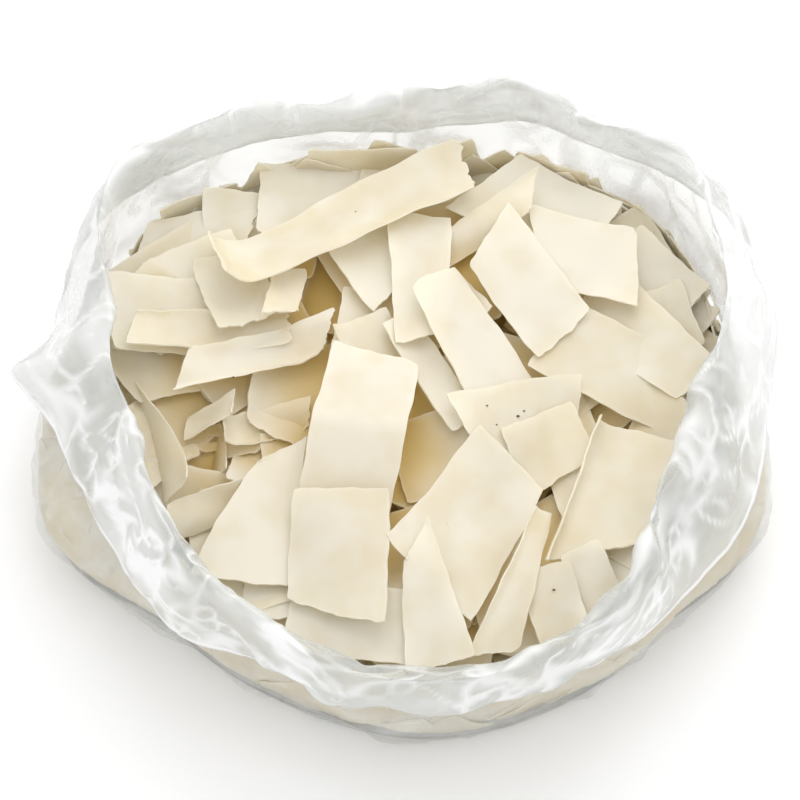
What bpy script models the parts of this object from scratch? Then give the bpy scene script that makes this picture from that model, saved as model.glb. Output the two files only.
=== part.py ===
"""An open plastic bag of dried rice noodle flakes, standing with its mouth folded outwards.

Lengths are millimetres in the named values and metres in the meshes, and +Z is up.
The origin is the middle of the bag's box on the floor, +X is its long way, -Y its low front.
The bag is one thin shell: a flat base, a wall, a fold round the mouth and a cuff outside.
The flakes are one heap: a core that follows the wall, with the flakes that show fused on it.
"""
import math
from typing import NamedTuple

import bmesh
import bpy
import numpy as np

MM = 0.001
SEED = 41

# The film is far thinner in the real bag, and is drawn as thick as a solid shell needs.
FILM = 0.8
GAP = 0.35
SECTORS = 72

# Middle of the box that the outlines below span, which is moved to the origin.
MIDDLE = (-0.79, -5.57)

# Outlines seen from above, anticlockwise from the front: x, y and, off the floor, height.
FLOOR = [(13, -102), (50, -92), (90, -60), (118, -32), (119, 8), (104, 52), (62, 80), (0, 86),
         (-62, 78), (-104, 50), (-120, 5), (-113, -36), (-80, -60), (-51, -83), (-24, -96)]
MOUTH = [(14, -110, 72), (47, -98, 72), (68, -79, 74), (80, -52, 77), (89, -23, 80),
         (102, 10, 84), (103, 34, 87), (94, 66, 90), (55, 86, 91), (20, 96, 94),
         (-12, 91, 91), (-58, 84, 91), (-88, 64, 89), (-97, 32, 86), (-92, 3, 83),
         (-80, -34, 79), (-64, -68, 75), (-33, -99, 72)]
HEM = [(20, -107, 44), (46, -100, 44), (83, -79, 44), (101, -58, 44), (116, -30, 46),
       (123, 4, 50), (125, 42, 56), (104, 76, 60), (62, 97, 62), (26, 106, 64),
       (-10, 101, 62), (-64, 94, 60), (-100, 68, 56), (-118, 34, 50), (-116, 2, 46),
       (-103, -34, 45), (-82, -68, 45), (-66, -87, 45), (-36, -98, 45), (0, -106, 44)]

# Heights of the wall's belly and neck, and how far the belly stands out past the floor edge.
BELLY_HEIGHT = 22.0
BELLY = 4.0
NECK_HEIGHT = 46.0
CUFF_CLEARANCE = 5.0
CORNER = 6.0
FOLD = 3.0

# The pointed ear of film that sticks out of the cuff on the left.
EAR_ANGLE = math.radians(175.5)
EAR_SPREAD = math.radians(4.5)
EAR_REACH = 11.0
EAR_LIFT = 9.0

# Steps along the film from the middle of the base (0) to the hem (11): see bag_section.
STEPS = [0, 1, 2, 3, 4, 4.5, 5, 5.6, 6.3, 7, 8, 8.7, 9.4, 10.2, 11]
WALL_STEPS = STEPS[2:11]

# Crumples of the film: waves round the bag, height in mm and where along the film they peak.
CRUMPLES = [(5, 1.4, 8.5), (9, 1.3, 10.0), (13, 1.0, 9.0), (7, 1.0, 5.0), (15, 0.7, 6.0)]

# The heap: its core slopes down to the front and is banked at the wall, and the flakes lie on it.
TOP_HEIGHT = 48.5
TOP_SLOPE = 0.11
TOP_BANK = 8.0
BANK_START, BANK_END = 0.55, 0.9
TOP_RIPPLE = 1.6
CORE_INSET = 3.2
FLAKE = 1.2
FLAKE_CLEARANCE = 1.9
ROOM_HEIGHTS = (42.0, 50.0, 60.0, 72.0)
SINK = 0.4
STEEPEST = 0.3
CLEAR_SHARE = 96

# The height field that flakes settle on: its cell in mm, and its cells along X and Y.
CELL = 2.0
FIELD = (136, 120)


class Flake(NamedTuple):
    """A flake on the heap: its middle, length and width in mm, and its turn in degrees.

    The curl lifts its two ends by some mm, and the roll tips it over by some degrees. A flake
    that stands in a gap sinks into the heap by some mm.
    """

    x: float
    y: float
    length: float
    width: float
    turn: float
    curl: float = 0.0
    roll: float = 0.0
    sink: float = 0.0


# The large flakes that show on top, from the lowest to the highest.
SHOWN = [
    Flake(-33, 72, 32, 27, 0), Flake(2, 72, 36, 25, -12), Flake(48, 65, 45, 31, -30),
    Flake(86, 40, 31, 22, -46), Flake(90, 24, 23, 16, -72), Flake(80, 18, 48, 24, -47),
    Flake(-69, 57, 36, 17, 10, sink=3), Flake(-66, 38, 31, 28, 24, sink=3),
    Flake(-79, 26, 32, 27, 5, 2), Flake(-78, -20, 44, 16, -64, roll=55, sink=7),
    Flake(-66, -22, 38, 14, -58, roll=50, sink=10), Flake(-52, -12, 31, 15, -70, roll=-46, sink=6),
    Flake(-59, -46, 24, 10, 27, sink=4), Flake(-43, -33, 29, 22, -31, sink=4),
    Flake(-36, -58, 48, 22, -93, sink=2), Flake(-37, -2, 33, 23, -97),
    Flake(-44, -16, 29, 11, 17, 4, sink=3), Flake(-62, 18, 50, 14, 9, 5),
    Flake(-47, 10, 50, 13, 24, 5), Flake(-7, 22, 28, 25, -9), Flake(14, -24, 27, 29, 12),
    Flake(-9, 12, 22, 20, -66), Flake(-10, 44, 29, 20, -64, 2), Flake(-54, 34, 27, 22, -73, 3),
    Flake(-38, 32, 18, 11, -97, 3), Flake(62, 47, 35, 26, -18), Flake(29, 61, 36, 12, 32, roll=22),
    Flake(11, 6, 43, 13, -57), Flake(7, 38, 47, 20, -89), Flake(42, 35, 41, 24, -54),
    Flake(24, 15, 51, 22, -60), Flake(-21, 59, 95, 19, 28, 4, sink=4), Flake(39, -12, 38, 22, 14),
    Flake(48, -22, 22, 25, -65), Flake(66, -39, 45, 28, -111, 3), Flake(71, 6, 48, 28, -27, sink=3),
    Flake(59, -68, 20, 14, -68), Flake(22, -47, 50, 31, -122), Flake(47, -73, 21, 17, -73),
    Flake(36, -71, 44, 12, -111, 3), Flake(-14, -86, 42, 22, -11), Flake(9, -76, 39, 18, -80),
    Flake(-48, -54, 41, 22, -75, 3, sink=3), Flake(-13, -18, 57, 29, -101, 1),
    Flake(-19, -58, 39, 30, -91, 2),
]

# The flakes with no place of their own: under those that show, and all round the wall.
LOOSE_COUNT = 11
LOOSE_SPREAD = (96.0, 80.0)
GOLDEN_ANGLE = math.pi * (3 - math.sqrt(5))
SIDE_COUNT = 18
SIDE_LOW, SIDE_HIGH = 7.0, 44.0
SIDE_DEPTHS = (0.35, 0.75, 1.15)
WALL_MEAN_RADIUS = 110.0

FILM_COLOUR = (0.86, 0.88, 0.88, 0.45)
RICE_COLOUR = (0.86, 0.80, 0.64, 1.0)


def closed_curve(points: list, angles: np.ndarray) -> np.ndarray:
    """Read an outline at the given angles, as radius and, if it has one, height.

    A smooth cubic through the outline's own points, sorted by their angle round the middle.
    """
    rows = np.array(points, dtype=float)
    x, y = rows[:, 0] - MIDDLE[0], rows[:, 1] - MIDDLE[1]
    values = np.column_stack([np.hypot(x, y), rows[:, 2:]])
    turn = np.arctan2(y, x) % math.tau
    order = np.argsort(turn)
    turn, values = turn[order], values[order]
    count = len(turn)
    spot = np.searchsorted(turn, angles % math.tau, side="right") - 1
    around = [(spot + step) % count for step in (-1, 0, 1, 2)]
    start, span = turn[around[1]], (turn[around[2]] - turn[around[1]]) % math.tau
    t = (((angles - start) % math.tau) / span)[:, None]
    before, here, there, after = (values[index] for index in around)
    return here + 0.5 * t * (there - before + t * (2 * before - 5 * here + 4 * there - after
                                                   + t * (3 * (here - there) + after - before)))


def bag_section(angles: np.ndarray) -> np.ndarray:
    """Give the film's section at each angle: 12 points of radius and height, base to hem."""
    floor = closed_curve(FLOOR, angles)[:, 0]
    mouth, mouth_z = closed_curve(MOUTH, angles).T
    hem, hem_z = closed_curve(HEM, angles).T
    half = 0.5 * FILM
    neck = np.minimum(0.5 * (floor + mouth), hem - CUFF_CLEARANCE)
    away = (angles - EAR_ANGLE + math.pi) % math.tau - math.pi
    ear = EAR_REACH * np.exp(-(away / EAR_SPREAD) ** 2)
    shoulder = np.maximum(mouth + 2.4 * FOLD, 0.45 * mouth + 0.55 * hem + FOLD)
    section = [
        (0 * floor, half), (0.5 * floor, half), (floor - CORNER, half),
        (floor - 0.25 * CORNER, half + 0.3 * CORNER), (floor + 0.5, half + CORNER),
        (floor + BELLY, BELLY_HEIGHT), (neck, NECK_HEIGHT),
        (0.35 * neck + 0.65 * (mouth - FOLD), 0.3 * NECK_HEIGHT + 0.7 * mouth_z),
        (mouth - 0.4 * FOLD, mouth_z - 0.8 * FOLD), (mouth + FOLD, mouth_z - 0.4 * FOLD),
        (shoulder + 0.6 * ear, 0.42 * hem_z + 0.58 * mouth_z - FOLD),
        (hem + ear, hem_z + EAR_LIFT / EAR_REACH * ear),
    ]
    return np.array([[radius, np.broadcast_to(z, radius.shape)] for radius, z in section])


def film_point(angles: np.ndarray, steps: np.ndarray) -> np.ndarray:
    """Give points on the middle of the film at the angles and steps along the section.

    A smooth cubic through the section's points, pushed out and up by the crumples, which
    fade to nothing at the base so that the bag stands flat.
    """
    section = bag_section(angles)
    last = len(section) - 1
    spot = np.minimum(steps.astype(int), last - 1)
    t = (steps - spot)[:, None]
    column = np.arange(len(angles))
    before, here, there, after = (
        section[np.clip(spot + step, 0, last), :, column] for step in (-1, 0, 1, 2))
    flat = 0.5 * t * (there - before + t * (2 * before - 5 * here + 4 * there - after
                                            + t * (3 * (here - there) + after - before)))
    radius, z = (here + flat).T
    for index, (waves, size, peak) in enumerate(CRUMPLES):
        wave = np.sin(waves * angles + 1.7 * index + 0.25 * steps)
        strength = size * np.exp(-((steps - peak) / 2.2) ** 2) * np.clip(steps - 2, 0, 1)
        radius = radius + strength * wave
        z = z + 0.5 * strength * np.where(steps > 7, wave, 0)
    z = np.where(steps <= 2, 0.5 * FILM, z)
    return np.column_stack([radius * np.cos(angles), radius * np.sin(angles), z])


def wall_radius(angles: np.ndarray, heights: np.ndarray) -> np.ndarray:
    """Give the film's radius at each angle and height of the wall, below the fold."""
    steps = np.array(WALL_STEPS, dtype=float)
    grid = film_point(np.repeat(angles, len(steps)), np.tile(steps, len(angles)))
    grid = grid.reshape(len(angles), len(steps), 3)
    radius = np.hypot(grid[..., 0], grid[..., 1])
    return np.array([np.interp(z, line[:, 2], r) for z, line, r in zip(heights, grid, radius)])


def top_height(x: np.ndarray, y: np.ndarray) -> np.ndarray:
    """Give the height of the core's top: a slope down to the front, and a bank at the wall."""
    edge = np.hypot(x, y) / WALL_MEAN_RADIUS
    rise = np.clip((edge - BANK_START) / (BANK_END - BANK_START), 0, 1)
    ripple = TOP_RIPPLE * np.sin(0.11 * x + 0.5) * np.cos(0.13 * y)
    return TOP_HEIGHT + TOP_SLOPE * y + TOP_BANK * rise ** 2 * (3 - 2 * rise) + ripple


def new_object(name: str, points: np.ndarray, faces: list, collection: str) -> bpy.types.Object:
    """Make a mesh object from points in mm and faces, and put it in a collection."""
    mesh = bpy.data.meshes.new(name)
    mesh.from_pydata((points * MM).tolist(), [], faces)
    mesh.update()
    made = bpy.data.objects.new(name, mesh)
    bpy.data.collections[collection].objects.link(made)
    return made


def ring_faces(rings: int, around: int) -> list:
    """Give the faces of rings of points round one first point, turned to face outwards."""
    fan = [(0, 1 + (i + 1) % around, 1 + i) for i in range(around)]
    for ring in range(rings - 1):
        low = 1 + ring * around
        for i in range(around):
            j = (i + 1) % around
            fan.append((low + i, low + j, low + around + j, low + around + i))
    return fan


def build_bag() -> bpy.types.Object:
    """Make the bag: one open sheet lofted from the base to the hem, and Solidify's film."""
    angles = np.arange(SECTORS) * math.tau / SECTORS
    rings = [film_point(angles, np.full(SECTORS, float(step))) for step in STEPS[1:]]
    points = np.vstack([[[0.0, 0.0, 0.5 * FILM]], *rings])
    bag = new_object("bag", points, ring_faces(len(rings), SECTORS), "bag_of_rice_flakes")
    film = bag.modifiers.new("film", "SOLIDIFY")
    film.thickness = FILM * MM
    film.offset = 0.0
    film.use_even_offset = True
    return bag


def build_core() -> bpy.types.Object:
    """Make the heap's core: rings that follow the wall inside, closed by the sloping top."""
    angles = np.arange(SECTORS) * math.tau / SECTORS
    c, s = np.cos(angles), np.sin(angles)
    base = np.full(SECTORS, FILM + GAP)
    edge = room(angles) - CORE_INSET
    rim = top_height(edge * c, edge * s)
    rings = []
    foot = wall_radius(angles, base + 1.0) - CORNER
    for share in (0.5, 1.0):
        rings.append(np.column_stack([share * foot * c, share * foot * s, base]))
    for share in (0.08, 0.25, 0.5, 0.78, 1.0):
        z = base + share * (rim - base)
        radius = wall_radius(angles, z) - CORE_INSET
        rings.append(np.column_stack([radius * c, radius * s, z]))
    for share in (0.85, 0.6, 0.32):
        x, y = share * radius * c, share * radius * s
        rings.append(np.column_stack([x, y, top_height(x, y)]))
    peak = np.array([[0.0, 0.0, float(top_height(0.0, 0.0))]])
    points = np.vstack([[[0.0, 0.0, base[0]]], *rings, peak])
    faces = ring_faces(len(rings), SECTORS)
    low, last = 1 + (len(rings) - 1) * SECTORS, len(points) - 1
    faces += [(low + i, low + (i + 1) % SECTORS, last) for i in range(SECTORS)]
    return new_object("rice_flakes", points, faces, "bag_of_rice_flakes")


def flake_sheet(name: str, across: int, shape) -> bpy.types.Object:
    """Make one flake: a grid moved to its place by shape(u, v), then given its thickness."""
    grid = bmesh.new()
    bmesh.ops.create_grid(grid, x_segments=3, y_segments=across, size=0.5)
    places = np.array([vert.co for vert in grid.verts])
    points = shape(places[:, 0], places[:, 1]) * MM
    for vert, point in zip(grid.verts, points):
        vert.co = point
    bmesh.ops.triangulate(grid, faces=grid.faces[:])
    mesh = bpy.data.meshes.new(name)
    grid.to_mesh(mesh)
    grid.free()
    flake = bpy.data.objects.new(name, mesh)
    bpy.data.collections["fused_flakes"].objects.link(flake)
    body = flake.modifiers.new("body", "SOLIDIFY")
    body.thickness = FLAKE * MM
    body.offset = 0.0
    flake.modifiers.new("flat_faces", "TRIANGULATE")
    flake.hide_render = True
    flake.display_type = "WIRE"
    return flake


def ragged(u: np.ndarray, v: np.ndarray, flake: Flake) -> tuple:
    """Give a flake's own outline: a strip whose ends slant and whose sides taper a little."""
    key = flake.x + 2 * flake.y
    slant = 0.16 * flake.width * math.sin(key)
    taper = 1 + 0.18 * math.sin(1.3 * key) * u
    return flake.length * u + slant * v * 2 * np.sign(u), flake.width * v * taper


def room(angles: np.ndarray) -> np.ndarray:
    """Give the radius that a flake on top may reach, clear of the wall at any height there."""
    walls = [wall_radius(angles, np.full(len(angles), z)) for z in ROOM_HEIGHTS]
    return np.min(walls, axis=0) - FLAKE_CLEARANCE


def settle(flake: Flake, field: np.ndarray):
    """Lay a flake on the heap and raise the heap's height field by it.

    The flake takes the slope of what is under it, and the height at which a few of its
    points touch it, less its own sink. It is moved in where it would reach the film.
    """
    turn, roll = math.radians(flake.turn), math.radians(flake.roll)
    middle = np.array([flake.x, flake.y]) - MIDDLE

    def place(u: np.ndarray, v: np.ndarray) -> tuple:
        a, b = ragged(u, v, flake)
        rise = flake.curl * (2 * u) ** 2 + b * math.sin(roll)
        b = b * math.cos(roll)
        x = middle[0] + a * math.cos(turn) - b * math.sin(turn)
        y = middle[1] + a * math.sin(turn) + b * math.cos(turn)
        return x, y, rise

    ends = np.array([-0.5, 0.0, 0.5, -0.5, 0.5, -0.5, 0.0, 0.5])
    sides = np.array([-0.5, -0.5, -0.5, 0.0, 0.0, 0.5, 0.5, 0.5])
    for _ in range(3):
        x, y, _ = place(ends, sides)
        beyond = np.hypot(x, y) - room(np.arctan2(y, x))
        worst = int(np.argmax(beyond))
        if beyond[worst] > 0:
            middle = middle - np.array([x[worst], y[worst]]) * beyond[worst] / np.hypot(x, y)[worst]
    u, v = np.meshgrid(np.linspace(-0.5, 0.5, 41), np.linspace(-0.5, 0.5, 21))
    x, y, rise = place(u.ravel(), v.ravel())
    column = np.clip((x / CELL + FIELD[0] / 2).astype(int), 0, FIELD[0] - 1)
    row = np.clip((y / CELL + FIELD[1] / 2).astype(int), 0, FIELD[1] - 1)
    under = field[column, row]
    design = np.column_stack([x, y, np.ones_like(x)])
    slope = np.clip(np.linalg.lstsq(design, under, rcond=None)[0][:2], -STEEPEST, STEEPEST)
    lift = np.percentile(under - rise - x * slope[0] - y * slope[1], CLEAR_SHARE)
    lift += 0.5 * FLAKE - SINK - flake.sink
    height = x * slope[0] + y * slope[1] + rise + lift
    np.maximum.at(field, (column, row), height + 0.5 * FLAKE)

    def shape(u: np.ndarray, v: np.ndarray) -> np.ndarray:
        x, y, rise = place(u, v)
        return np.column_stack([x, y, x * slope[0] + y * slope[1] + rise + lift])

    return shape


def side_shape(angle: float, height: float, length: float, width: float, turn: float,
               depth: float):
    """Give a flake that lies against the inside of the wall and follows its curve."""
    def shape(u: np.ndarray, v: np.ndarray) -> np.ndarray:
        a, b = length * u, width * v
        along = a * math.cos(turn) - b * math.sin(turn)
        up = a * math.sin(turn) + b * math.cos(turn)
        z = height + up
        angles = angle + along / WALL_MEAN_RADIUS
        radius = wall_radius(angles, z) - FLAKE_CLEARANCE - depth
        return np.column_stack([radius * np.cos(angles), radius * np.sin(angles), z])
    return shape


def build_heap() -> bpy.types.Object:
    """Make the heap: the core, the flakes that show all over it, and one union of them."""
    random = np.random.default_rng(SEED)
    core = build_core()
    column, row = np.meshgrid(np.arange(FIELD[0]), np.arange(FIELD[1]), indexing="ij")
    field = top_height((column - FIELD[0] / 2) * CELL, (row - FIELD[1] / 2) * CELL)
    loose = []
    for index in range(LOOSE_COUNT):
        angle, reach = index * GOLDEN_ANGLE, math.sqrt((index + 0.5) / LOOSE_COUNT)
        loose.append(Flake(LOOSE_SPREAD[0] * reach * math.cos(angle),
                           LOOSE_SPREAD[1] * reach * math.sin(angle),
                           random.uniform(34, 56), random.uniform(22, 32),
                           random.uniform(0, 180), random.uniform(-2, 3)))
    for index, flake in enumerate(loose + SHOWN):
        across = 2 if flake.curl > 3 else 1
        flake_sheet(f"top_{index}", across, settle(flake, field))
    for index in range(SIDE_COUNT):
        angle = (index + random.uniform(-0.3, 0.3)) * math.tau / SIDE_COUNT
        length, width = random.uniform(30, 46), random.uniform(18, 26)
        turn = random.uniform(-0.8, 0.8)
        reach = 0.5 * (length * abs(math.sin(turn)) + width * math.cos(turn))
        height = random.uniform(SIDE_LOW + reach, max(SIDE_HIGH - reach, SIDE_LOW + reach + 1))
        flake_sheet(f"side_{index}", 1, side_shape(
            angle, height, length, width, turn, SIDE_DEPTHS[index % len(SIDE_DEPTHS)]))
    fuse(core, bpy.data.collections["fused_flakes"])
    return core


def fuse(core: bpy.types.Object, pieces: bpy.types.Collection) -> None:
    """Join the core and the flakes into one closed body, and remove the loose flakes."""
    core.modifiers.new("flat_faces", "TRIANGULATE")
    union = core.modifiers.new("union", "BOOLEAN")
    union.operation = "UNION"
    union.operand_type = "COLLECTION"
    union.collection = pieces
    bpy.context.view_layer.update()
    evaluated = core.evaluated_get(bpy.context.evaluated_depsgraph_get())
    joined = bpy.data.meshes.new_from_object(evaluated)
    core.modifiers.clear()
    core.data = keep_largest(joined)
    for flake in list(pieces.objects):
        bpy.data.objects.remove(flake)
    bpy.data.collections.remove(pieces)


def keep_largest(mesh: bpy.types.Mesh) -> bpy.types.Mesh:
    """Keep the mesh's largest body, so that sealed hollows fill and loose scraps drop."""
    work = bmesh.new()
    work.from_mesh(mesh)
    left, bodies = set(work.verts), []
    while left:
        body, edge = set(), [left.pop()]
        while edge:
            vert = edge.pop()
            body.add(vert)
            near = {link.other_vert(vert) for link in vert.link_edges} & left
            left -= near
            edge.extend(near)
        bodies.append(body)
    bodies.sort(key=len)
    for body in bodies[:-1]:
        bmesh.ops.delete(work, geom=list(body), context="VERTS")
    bmesh.ops.triangulate(work, faces=work.faces[:])
    work.to_mesh(mesh)
    work.free()
    return mesh


def finish(target: bpy.types.Object, name: str, colour: tuple, roughness: float) -> None:
    """Give an object its material, from the colours of the real thing."""
    material = bpy.data.materials.new(name)
    material.use_nodes = True
    shader = material.node_tree.nodes["Principled BSDF"]
    shader.inputs["Base Color"].default_value = colour
    shader.inputs["Alpha"].default_value = colour[3]
    shader.inputs["Roughness"].default_value = roughness
    shader.inputs["Metallic"].default_value = 0.0
    target.data.materials.clear()
    target.data.materials.append(material)


def main() -> None:
    """Build the bag and its heap of flakes in an empty scene."""
    for old in list(bpy.data.objects):
        bpy.data.objects.remove(old, do_unlink=True)
    for name in ("bag_of_rice_flakes", "fused_flakes"):
        bpy.context.scene.collection.children.link(bpy.data.collections.new(name))
    bag = build_bag()
    finish(bag, "polythene_film", FILM_COLOUR, 0.25)
    bag.data.shade_smooth()
    heap = build_heap()
    finish(heap, "dried_rice_sheet", RICE_COLOUR, 0.55)


main()
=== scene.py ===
"""Looks of an open plastic bag of dried rice noodle flakes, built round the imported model.

Lengths are millimetres until a mesh is made, and +Z is up. The film is worked out from the
same outlines as the solid bag, with its crinkles added. The flakes are thin bent sheets that
are laid one by one on a height field of what is already there, so each rests on the last.
"""
import logging
import math
from dataclasses import dataclass, field, replace
from enum import Enum

import bpy
import numpy as np
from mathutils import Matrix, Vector


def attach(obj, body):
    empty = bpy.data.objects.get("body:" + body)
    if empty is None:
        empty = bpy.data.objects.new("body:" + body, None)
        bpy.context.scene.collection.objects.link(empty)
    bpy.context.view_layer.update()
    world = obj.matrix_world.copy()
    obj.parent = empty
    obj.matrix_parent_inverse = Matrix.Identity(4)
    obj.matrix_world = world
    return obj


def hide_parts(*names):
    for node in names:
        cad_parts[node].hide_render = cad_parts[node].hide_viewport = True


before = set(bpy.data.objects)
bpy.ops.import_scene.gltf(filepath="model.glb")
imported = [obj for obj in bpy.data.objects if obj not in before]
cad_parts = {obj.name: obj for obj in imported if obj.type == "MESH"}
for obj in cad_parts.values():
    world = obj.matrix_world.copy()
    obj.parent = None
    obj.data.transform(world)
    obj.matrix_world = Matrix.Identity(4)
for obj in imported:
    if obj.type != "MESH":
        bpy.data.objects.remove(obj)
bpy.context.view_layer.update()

log = logging.getLogger("rice_flakes")

MM = 0.001
ROOT = "root"
SEED = 2048

# Share of a turn from one side flake to the next, which never falls on the same place twice.
GOLDEN_SHARE = 0.618034

# Middle of the box that the outlines span, which is moved to the origin.
MIDDLE = (-0.79, -5.57)

# Outlines seen from above, anticlockwise from the front: x, y and, off the floor, height.
FLOOR = ((13, -102), (50, -92), (90, -60), (118, -32), (119, 8), (104, 52), (62, 80), (0, 86),
         (-62, 78), (-104, 50), (-120, 5), (-113, -36), (-80, -60), (-51, -83), (-24, -96))
MOUTH = ((14, -110, 72), (47, -98, 72), (68, -79, 74), (80, -52, 77), (89, -23, 80),
         (102, 10, 84), (103, 34, 87), (94, 66, 90), (55, 86, 91), (20, 96, 94),
         (-12, 91, 91), (-58, 84, 91), (-88, 64, 89), (-97, 32, 86), (-92, 3, 83),
         (-80, -34, 79), (-64, -68, 75), (-33, -99, 72))
HEM = ((20, -107, 44), (46, -100, 44), (83, -79, 44), (101, -58, 44), (116, -30, 46),
       (123, 4, 50), (125, 42, 56), (104, 76, 60), (62, 97, 62), (26, 106, 64),
       (-10, 101, 62), (-64, 94, 60), (-100, 68, 56), (-118, 34, 50), (-116, 2, 46),
       (-103, -34, 45), (-82, -68, 45), (-66, -87, 45), (-36, -98, 45), (0, -106, 44))


def linear(code: str) -> tuple[float, float, float, float]:
    """Turn an sRGB hex colour into linear light.

    Args:
        code: The colour as six hex digits.

    Returns:
        Red, green, blue and an alpha of 1.
    """
    shares = [int(code[i:i + 2], 16) / 255 for i in (0, 2, 4)]
    light = [s / 12.92 if s <= 0.04045 else ((s + 0.055) / 1.055) ** 2.4 for s in shares]
    return (*light, 1.0)


def add_node(tree: bpy.types.NodeTree, kind: str, settings: dict | None = None,
             inputs: dict | None = None) -> bpy.types.Node:
    """Add one node with its settings, its values and its links.

    Args:
        tree: The node tree that takes it.
        kind: The node's type name.
        settings: Properties of the node.
        inputs: Values or output sockets, by input name or number.

    Returns:
        The new node.
    """
    node = tree.nodes.new(kind)
    for name, value in (settings or {}).items():
        setattr(node, name, value)
    for name, value in (inputs or {}).items():
        if isinstance(value, bpy.types.NodeSocket):
            tree.links.new(value, node.inputs[name])
        else:
            node.inputs[name].default_value = value
    return node


def point_value(tree: bpy.types.NodeTree, name: str) -> bpy.types.NodeSocket:
    """Read one of the values that the mesh has on its points."""
    return add_node(tree, "ShaderNodeAttribute", {"attribute_name": name}).outputs["Fac"]


def combined(tree: bpy.types.NodeTree, operation: str, first: bpy.types.NodeSocket,
             second: bpy.types.NodeSocket | float, clamped: bool = False) -> bpy.types.NodeSocket:
    """Add or multiply two values, and keep the result from 0 to 1 where that is asked for."""
    return add_node(tree, "ShaderNodeMath", {"operation": operation, "use_clamp": clamped},
                    {0: first, 1: second}).outputs[0]


def mixed_colour(tree: bpy.types.NodeTree, share: bpy.types.NodeSocket,
                 first: bpy.types.NodeSocket | tuple, second: tuple) -> bpy.types.NodeSocket:
    """Mix two colours, where a share of 0 is the first and a share of 1 is the second."""
    return add_node(tree, "ShaderNodeMix", {"data_type": "RGBA"},
                    {"Factor": share, "A": first, "B": second}).outputs["Result"]


def new_material(name: str) -> tuple[bpy.types.Material, bpy.types.NodeTree, bpy.types.Node]:
    """Make a material with nothing but its main shader.

    Args:
        name: The material's name.

    Returns:
        The material, its node tree and its shader node.
    """
    material = bpy.data.materials.new(name)
    material.use_nodes = True
    return material, material.node_tree, material.node_tree.nodes["Principled BSDF"]


@dataclass(frozen=True)
class MilkyPolythene:
    """Thin low-density polythene film, blown and crumpled by hand.

    It is milky and mostly see-through, with a soft gloss, and it turns whiter where it is
    handled and along the creases: partly the whitening of stressed film and partly painted
    highlight for the glints on the crinkles and creases.
    """

    colour: str = "DFE1DE"
    # White of the creases and cloud patches: partly stressed film, partly painted highlight.
    stress_white_and_glint_colour: str = "FFFFFF"
    clear: float = 0.11
    milky: float = 0.38
    white_and_glint_opacity: float = 0.5
    roughness: float = 0.22
    refraction: float = 1.51

    def build(self) -> bpy.types.Material:
        """Build the film's material, with its haze and its creases from the mesh, whitened partly
        by painted highlight.
        """
        material, tree, shader = new_material("milky_polythene_film")
        stress_white_and_glint = point_value(tree, "stress_white_and_glint")
        base = add_node(tree, "ShaderNodeMapRange", {}, {
            "Value": point_value(tree, "milk"), "To Min": self.clear,
            "To Max": self.milky}).outputs["Result"]
        # Partly painted highlight: the creases and cloud patches are whiter and more opaque.
        white = combined(tree, "MULTIPLY", stress_white_and_glint, self.white_and_glint_opacity)
        alpha = combined(tree, "ADD", base, white, clamped=True)
        colour = mixed_colour(tree, stress_white_and_glint, linear(self.colour), linear(self.stress_white_and_glint_colour))
        tree.links.new(colour, shader.inputs["Base Color"])
        tree.links.new(alpha, shader.inputs["Alpha"])
        shader.inputs["Roughness"].default_value = self.roughness
        shader.inputs["IOR"].default_value = self.refraction
        return material


@dataclass(frozen=True)
class RiceSheet:
    """Steamed rice batter dried to a thin brittle sheet and broken up.

    It is ivory, and clouded where the batter dried thicker. The deeper flakes get a painted
    ochre shade for the gaps, where light comes through the flakes above, and the edges a
    painted highlight.
    """

    name: str = "dried_rice_sheet"
    pale: str = "FDFAF0"
    warm: str = "F1E7CD"
    # Painted ochre shade for the flakes that lie deep in the gaps.
    painted_gap_shade: str = "E9CC80"
    through: str = "FDF6DF"
    # Colour of the painted highlight on the flakes' edges.
    painted_edge_glow: str = "FDFBF4"
    passing: float = 0.4
    cloud_size: float = 14.0
    # How far the edges are mixed towards the painted edge highlight.
    edge_glow_share: float = 0.5
    roughness: float = 0.5
    refraction: float = 1.45

    def build(self) -> bpy.types.Material:
        """Build the material: cloudy ivory that varies by flake, with painted ochre shade that
        grows with depth and a painted highlight on the edges.
        """
        material, tree, shader = new_material(self.name)
        place = add_node(tree, "ShaderNodeTexCoord").outputs["Object"]
        cloud = add_node(tree, "ShaderNodeTexNoise", {}, {
            "Vector": place, "Scale": 1000 / self.cloud_size, "Detail": 2.0,
            "Roughness": 0.55}).outputs["Fac"]
        spread = add_node(tree, "ShaderNodeMapRange", {}, {
            "Value": cloud, "From Min": 0.3, "From Max": 0.7, "To Min": -0.4,
            "To Max": 0.4}).outputs["Result"]
        share = combined(tree, "ADD", point_value(tree, "tint"), spread, clamped=True)
        ivory = mixed_colour(tree, share, linear(self.pale), linear(self.warm))
        # Painted shade: the deeper a point lies in the heap, the more it turns to the ochre gap
        # shade.
        gap_shaded = mixed_colour(tree, point_value(tree, "depth"), ivory, linear(self.painted_gap_shade))
        # Painted highlight: each flake's edge points are mixed towards a near-white.
        edge_glow = combined(tree, "MULTIPLY", point_value(tree, "rim"), self.edge_glow_share)
        colour = mixed_colour(tree, edge_glow, gap_shaded, linear(self.painted_edge_glow))
        glow = add_node(tree, "ShaderNodeBsdfTranslucent", {}, {"Color": linear(self.through)})
        mixed = add_node(tree, "ShaderNodeMixShader", {}, {
            "Fac": self.passing, 1: shader.outputs["BSDF"], 2: glow.outputs["BSDF"]})
        output = tree.nodes["Material Output"]
        tree.links.new(mixed.outputs["Shader"], output.inputs["Surface"])
        tree.links.new(colour, shader.inputs["Base Color"])
        shader.inputs["Roughness"].default_value = self.roughness
        shader.inputs["IOR"].default_value = self.refraction
        return material


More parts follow.
